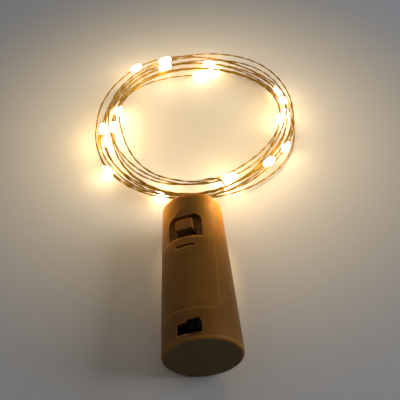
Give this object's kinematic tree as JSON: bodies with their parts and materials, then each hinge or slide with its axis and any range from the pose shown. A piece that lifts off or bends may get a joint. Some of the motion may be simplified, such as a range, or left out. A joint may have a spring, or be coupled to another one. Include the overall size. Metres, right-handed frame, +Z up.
{
  "type": "cork bottle light",
  "caption": "Cork-shaped battery light that plugs a bottle neck: hinged cover with a snap latch, three button cells, slide switch and a coiled copper wire string of twenty drop lamps.",
  "frame": {"origin": "middle of the case's footprint on the surface that it lies on, without the wire and its lamps", "axes": "+Y along the case from its wide face towards its small face and the coil, +Z up, +X to the right"},
  "size_m": [0.0683, 0.1276, 0.0212],
  "materials": {
    "cork_plastic": "glossy tan brown moulded plastic, slightly translucent",
    "cell_steel": "bright nickel plated steel",
    "cell_seal": "dark nylon",
    "contact_metal": "plated spring bronze",
    "board": "green lacquered board",
    "chip_black": "black chip resistor",
    "switch_steel": "plated steel sheet",
    "switch_base": "brown laminate",
    "knob_black": "black, fine grain",
    "bush": "pale flexible plastic",
    "lead_red": "red insulation",
    "lead_black": "black insulation",
    "copper_wire": "clear lacquered copper, bright",
    "bead_resin": "clear epoxy drop",
    "led_chip": "warm white lamp chip, lit"
  },
  "bodies": {
    "case": {"housing": "cork_plastic", "end_cap": "cork_plastic", "cell_1_can": "cell_steel", "cell_1_seal": "cell_seal", "cell_1_cap": "cell_steel", "cell_2_can": "cell_steel", "cell_2_seal": "cell_seal", "cell_2_cap": "cell_steel", "cell_3_can": "cell_steel", "cell_3_seal": "cell_seal", "cell_3_cap": "cell_steel", "positive_contact": "contact_metal", "negative_contact": "contact_metal", "negative_spring": "contact_metal", "circuit_board": "board", "resistor": "chip_black", "switch_frame": "switch_steel", "switch_base": "switch_base", "switch_pins": "contact_metal", "wire_bush": "bush", "switched_lead": "lead_red", "return_lead": "lead_black", "wire_lead": "copper_wire", "wire_coil": "copper_wire", "led_bead_01": "bead_resin", "led_bead_02": "bead_resin", "led_bead_03": "bead_resin", "led_bead_04": "bead_resin", "led_bead_05": "bead_resin", "led_bead_06": "bead_resin", "led_bead_07": "bead_resin", "led_bead_08": "bead_resin", "led_bead_09": "bead_resin", "led_bead_10": "bead_resin", "led_bead_11": "bead_resin", "led_bead_12": "bead_resin", "led_bead_13": "bead_resin", "led_bead_14": "bead_resin", "led_bead_15": "bead_resin", "led_bead_16": "bead_resin", "led_bead_17": "bead_resin", "led_bead_18": "bead_resin", "led_bead_19": "bead_resin", "led_bead_20": "bead_resin", "led_chips": "led_chip"},
    "cover": {"battery_cover": "cork_plastic"},
    "latch": {"cover_latch": "cork_plastic"},
    "switch": {"switch_knob": "knob_black", "switch_finger": "contact_metal"}
  },
  "joints": [
    {"name": "cover_hinge", "type": "hinge", "parent": "case", "child": "cover", "pos_m": [-0.00309, -0.01463, 0.01895], "axis": [0.9483, 0.0103, 0.3171], "range_deg": [0, 75]},
    {"name": "latch_flex", "type": "hinge", "parent": "cover", "child": "latch", "pos_m": [-0.00065, 0.00847, 0.01091], "axis": [0.9483, 0.0103, 0.3171], "range_deg": [0, 14], "stiffness_Nm_per_rad": 0.05},
    {"name": "switch_slide", "type": "slide", "parent": "case", "child": "switch", "axis": [-0.9483, -0.0103, -0.3171], "range_m": [0, 0.0028]}
  ]
}
